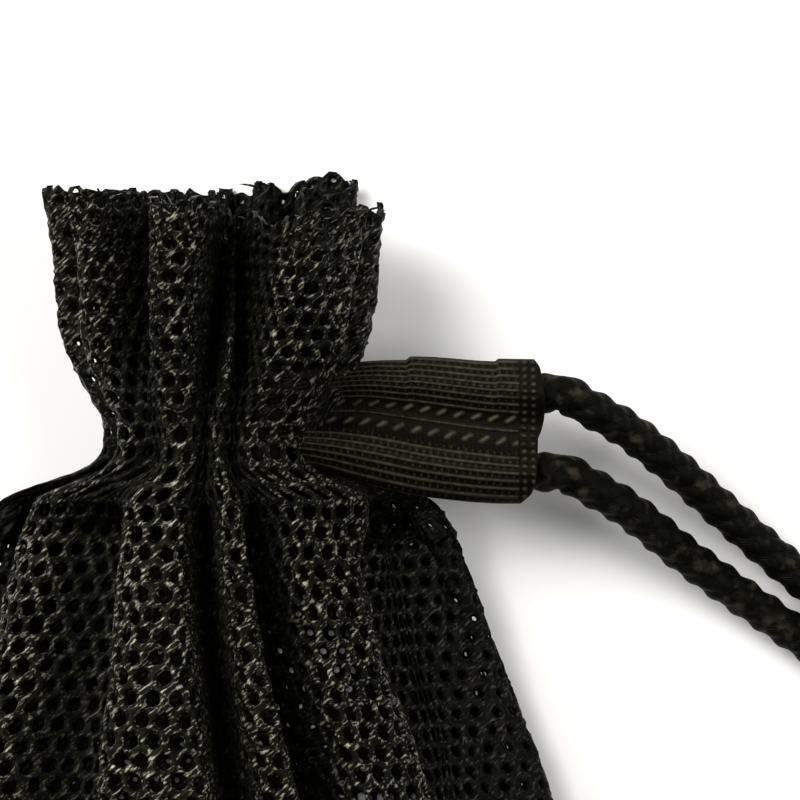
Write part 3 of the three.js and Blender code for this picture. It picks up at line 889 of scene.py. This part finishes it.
def net_piece(name, first, last, fine, material):
    """Rows first to last of the net, as a closed solid. Each hole's ring of cloth runs from a
    thin rim over a rounded yarn to the line that it shares with the next hole, and six such
    lines meet round every hole. The inner face is plain."""
    sides = 12 if fine else 6
    i, j = np.meshgrid(np.arange(first - 1, last + 1), np.arange(net_columns), indexing="ij")
    odd = (i % 2) * 0.5
    column = j + odd
    row = i + 0.5
    corner_top = (column, row - 2 / 3)
    corner_bottom = (column, row + 2 / 3)
    mid_right = (column + 0.25, row - 0.5)
    mid_side = (column + 0.5, row + 0.0)
    mid_left = (column - 0.25, row - 0.5)
    families = [corner_top, corner_bottom] + ([mid_right, mid_side, mid_left] if fine else [])
    moves = net_shifts[:, first + 1:last + 3]
    families = [(u + move[..., 0], v + move[..., 1]) for (u, v), move in zip(families, moves)]
    shared_lift = np.concatenate([hole_pitch * move[..., 2].ravel() for move in moves[:len(families)]])
    size = i.size
    shared = len(families) * size
    base = np.arange(size).reshape(i.shape)
    inside_rows = np.arange(1, i.shape[0] - 1)
    a, b = np.meshgrid(inside_rows, np.arange(net_columns), indexing="ij")
    shift = ((first - 1 + a) % 2).astype(int)
    right = (b + shift) % net_columns
    left = (b + shift - 1) % net_columns
    here = base[a, b]
    top, bottom = here, size + here
    up_right, up_left = size + base[a - 1, right], size + base[a - 1, left]
    low_right, low_left = base[a + 1, right], base[a + 1, left]
    if fine:
        m_right, m_side, m_left = 2 * size + here, 3 * size + here, 4 * size + here
        m_low_right = 4 * size + base[a + 1, right]
        m_low_left = 2 * size + base[a + 1, left]
        m_far = 3 * size + base[a, (b - 1) % net_columns]
        outline = [m_side, up_right, m_right, top, m_left, up_left, m_far, low_left, m_low_left, bottom,
                   m_low_right, low_right]
        angles = np.radians(np.arange(0, 360, 30))
    else:
        outline = [up_right, top, up_left, low_left, bottom, low_right]
        angles = np.radians(np.arange(30, 390, 60))
    outline = np.stack([o.ravel() for o in outline], axis=1)
    cells = len(outline)
    cell_column = (column + moves[5, ..., 0])[a, b].ravel()[:, None]
    cell_row = (row + moves[5, ..., 1])[a, b].ravel()[:, None]
    spread = blend(cloth_shares, cell_column, cell_row)[..., 0]
    corners = 1 + hole_corner * np.cos(6 * (angles - np.pi / 2))
    hole = (hole_under + (hole_open - hole_under) * spread) * corners
    row_scale = hole_pitch / row_rise

    def ring(share):
        return cell_column + share * np.cos(angles), cell_row - share * np.sin(angles) * row_scale

    rings = [ring(hole), ring(0.5 * (hole + 0.5))] if fine else [ring(hole)]
    depths = [rim_depth, shoulder_depth] if fine else [plain_rim_depth]
    shared_columns, shared_rows = (np.concatenate([f[k].ravel() for f in families]) for k in (0, 1))
    columns_all = [shared_columns, shared_columns] + [r[0].ravel() for r in rings]
    rows_all = [shared_rows, shared_rows] + [r[1].ravel() for r in rings]
    ring_lifts = [np.full(cells * sides, -depth) for depth in depths]
    lift_all = [shared_lift, shared_lift - cloth_depth] + ring_lifts
    ring_ids = np.arange(cells * sides).reshape(cells, sides)
    loops = [2 * shared + n * cells * sides + ring_ids for n in range(len(rings))] + [outline]

    def band(near, far):
        near_next = np.roll(near, -1, axis=1)
        far_next = np.roll(far, -1, axis=1)
        one = np.stack([near, far, far_next], -1).reshape(-1, 3)
        two = np.stack([near, far_next, near_next], -1).reshape(-1, 3)
        return np.concatenate([one, two])

    outside = np.concatenate([band(near, far) for near, far in zip(loops, loops[1:])])
    inside = band(loops[0], outline + shared)[:, ::-1]
    edges = np.stack([outline, np.roll(outline, -1, axis=1)], -1).reshape(-1, 2)
    low, high = np.sort(edges, axis=1).T
    _, index, count = np.unique(low * 4 * shared + high, return_index=True, return_counts=True)
    border = edges[index[count == 1]]
    strip = np.concatenate([
        np.stack([border[:, 1], border[:, 0], border[:, 0] + shared], 1),
        np.stack([border[:, 1], border[:, 0] + shared, border[:, 1] + shared], 1),
    ])
    used, faces = np.unique(np.concatenate([outside, inside, strip]), return_inverse=True)
    faces = faces.reshape(-1, 3)[:, ::-1]
    columns_used = np.concatenate(columns_all)[used]
    rows_used = np.concatenate(rows_all)[used]
    lift = np.concatenate(lift_all)[used][:, None]
    normals = blend(cloth_normals, columns_used, rows_used)
    points = blend(cloth_points, columns_used, rows_used) + lift * normals
    points[:, 2] = np.maximum(points[:, 2], least_height)
    piece = mesh_object(name, points, faces, material, flat_faces=len(strip))
    point_numbers(piece, "painted_light", blend(cloth_shares, columns_used, rows_used)[..., 1])
    return piece


# Knitted polyester: flat filament yarn, near black. Its glints in short slanting dashes, where
# its filaments lie across the light, are painted: a grey colour as painted highlight and a higher
# specular. Painted shade fades the dashes in the valleys and on the underside, where the light hardly
# comes.
mesh_black = "#0c0c08"
painted_glint_grey = "#7d7868"
dash_slant = 0.72
dash_long = 600.0
dash_short = 2300.0
net_bump = 0.00025
net_material, tree, surface = new_material("black_knitted_polyester_mesh", {
    "Roughness": 0.32, "Specular Tint": linear(yarn_sheen)})
place = add_node(tree, "ShaderNodeTexCoord")
slanted = add_node(tree, "ShaderNodeMapping", inputs={
    "Vector": place.outputs["Object"], "Rotation": (0.0, 0.0, -dash_slant)})
stretched = add_node(tree, "ShaderNodeMapping", inputs={
    "Vector": slanted.outputs["Vector"], "Scale": (dash_long, dash_short, dash_short)})
dash = add_node(tree, "ShaderNodeTexNoise", inputs={
    "Vector": stretched.outputs["Vector"], "Scale": 1.0, "Detail": 2.0})
dash_mask = add_node(tree, "ShaderNodeMapRange", inputs={
    "Value": dash.outputs["Fac"], "From Min": 0.55, "From Max": 0.72})
# The cloth's painted light and shade, stored on its points; a small share of the painted highlight stays
# even where it is lowest
painted_light = add_node(tree, "ShaderNodeAttribute", {"attribute_name": "painted_light"})
crest = add_node(tree, "ShaderNodeMapRange", inputs={"Value": painted_light.outputs["Fac"], "To Min": 0.11})
dash_share = add_node(tree, "ShaderNodeMath", {"operation": "MULTIPLY"}, {
    0: dash_mask.outputs["Result"], 1: crest.outputs["Result"]})
# Painted highlight: the dashes turn the colour grey, as far as the cloth's painted light allows
net_colour = two_colours(tree, dash_share.outputs[0], (0.0, mesh_black), (1.0, painted_glint_grey))
gloss = add_node(tree, "ShaderNodeMapRange", inputs={
    "Value": dash_share.outputs[0], "To Min": 0.025, "To Max": 0.9})
tree.links.new(net_colour, surface.inputs["Base Color"])
tree.links.new(gloss.outputs["Result"], surface.inputs["Specular IOR Level"])
tree.links.new(bumps(tree, dash.outputs["Fac"], 0.8, net_bump), surface.inputs["Normal"])

# The ruffle's band ends just under the casing, and the rows nearest the neck are the fine ones.
neck_row = 17
fine_rows = 34
body_row = 80
net_parts = [
    ("net_ruffle", 0, neck_row, True),
    ("net_shoulder", neck_row, fine_rows, True),
    ("net_body", fine_rows, body_row, False),
    ("net_bottom", body_row, net_rows, False),
]
net = [net_piece(name, first, last, fine, net_material) for name, first, last, fine in net_parts]

# Bottom seam and loose threads
# The tube of mesh is closed along the bottom with an overlocked seam, and its raw-cut mouth has
# short loose ends of yarn.
seam_half = 72.0
seam_radius = 1.7
seam_pitch = 2.4
seam_step = 0.3
seam_sides = 20
thread_count = 110
thread_radius = 0.17
thread_sides = 5
thread_points = 7
thread_height = 0.2
thread_reach = (0.7, 2.0)
# Painted light for the glint dashes on the seam and on the loose threads, one share each
seam_painted_light = 0.5
thread_painted_light = 0.8


def thread_mesh(name, paths, material):
    """Thin round threads with tapered ends, all in one piece."""
    ends = np.linspace(-1.0, 1.0, thread_points)[:, None]
    taper = thread_radius * np.sqrt(np.clip(1.04 - ends**6, 0.02, 1.0)) * np.ones((1, thread_sides))
    points = np.concatenate([sweep(path, taper, thread_sides).reshape(-1, 3) for path in paths])
    one_thread = tube_faces(thread_points, thread_sides)
    starts = np.arange(len(paths)) * thread_points * thread_sides
    faces = np.concatenate([one_thread + start for start in starts])
    return mesh_object(name, points, faces, material)


seam_x = np.arange(-seam_half, seam_half + 0.1, seam_step)
seam_path = np.stack(np.broadcast_arrays(seam_x, -body_depth, seam_radius + 0.5), axis=1)
seam_angle = 2 * np.pi * np.arange(seam_sides) / seam_sides
seam_twist = np.abs(np.sin(np.pi * seam_x[:, None] / seam_pitch + seam_angle[None, :] / 2))
seam_ends = np.clip((seam_half - np.abs(seam_x)) / 2.0, 0.05, 1.0)[:, None]
seam_radii = seam_radius * (0.8 + 0.2 * seam_twist) * np.sqrt(seam_ends)
seam_points = sweep(seam_path, seam_radii, seam_sides).reshape(-1, 3)
seam_faces = tube_faces(len(seam_x), seam_sides)
seam = mesh_object("bottom_seam", seam_points, seam_faces, net_material)
point_numbers(seam, "painted_light", np.full(len(seam_points), seam_painted_light))

chance = np.random.default_rng(7)
thread_paths = []
for _ in range(thread_count):
    root_column = np.array([chance.uniform(0, net_columns)])
    root = blend(cloth_points, root_column, np.array([0.4]))[0]
    reach = chance.uniform(*thread_reach)
    lean = np.array([chance.normal(0, 0.5), 1.0, chance.normal(0, 0.5)])
    curl = np.array([chance.normal(0, 0.8), -0.4, chance.normal(0, 0.6)])
    share = np.linspace(0.0, 1.0, thread_points)[:, None]
    path = root + reach * (lean * share + curl * share**2)
    path[:, 2] = np.maximum(path[:, 2], thread_height)
    thread_paths.append(path)
threads = thread_mesh("loose_threads", thread_paths, net_material)
point_numbers(threads, "painted_light", np.full(len(threads.data.vertices), thread_painted_light))
for piece in (net[0], threads):
    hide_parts("mesh_ruffle")
for piece in (*net[1:], seam):
    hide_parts("mesh_body")

# Surface and light
# A plain pale table top, one large soft light from the upper left and a weaker one opposite.
floor_mesh = bpy.data.meshes.new("floor")
half_floor = 3.0
floor_mesh.from_pydata([(-half_floor, -half_floor, 0), (half_floor, -half_floor, 0),
                        (half_floor, half_floor, 0), (-half_floor, half_floor, 0)], [], [(0, 1, 2, 3)])
floor_material, _, _ = new_material("pale_table", {
    "Base Color": linear("#f2f1ee"), "Roughness": 0.9, "Specular IOR Level": 0.1})
floor_mesh.materials.append(floor_material)
floor = bpy.data.objects.new("floor", floor_mesh)
bpy.context.scene.collection.objects.link(floor)

light_target = (0, -40, 0)


def area_light(name, place_mm, power, size_mm):
    """A square soft light at a place, turned towards the shoulder of the bag."""
    data = bpy.data.lights.new(name, "AREA")
    data.energy = power
    data.size = size_mm * MM
    light = bpy.data.objects.new(name, data)
    light.location = in_frame(place_mm)
    aim = Vector(in_frame(light_target)) - light.location
    light.rotation_euler = aim.to_track_quat("-Z", "Y").to_euler()
    bpy.context.scene.collection.objects.link(light)


area_light("key", (-540, 430, 640), power=14.5, size_mm=620)
area_light("fill", (560, 60, 560), power=4.2, size_mm=520)
world = bpy.data.worlds.new("studio")
world.use_nodes = True
world.node_tree.nodes["Background"].inputs["Color"].default_value = linear("#ffffff")
world.node_tree.nodes["Background"].inputs["Strength"].default_value = 0.10
bpy.context.scene.world = world
bpy.context.scene.view_settings.view_transform = "Standard"
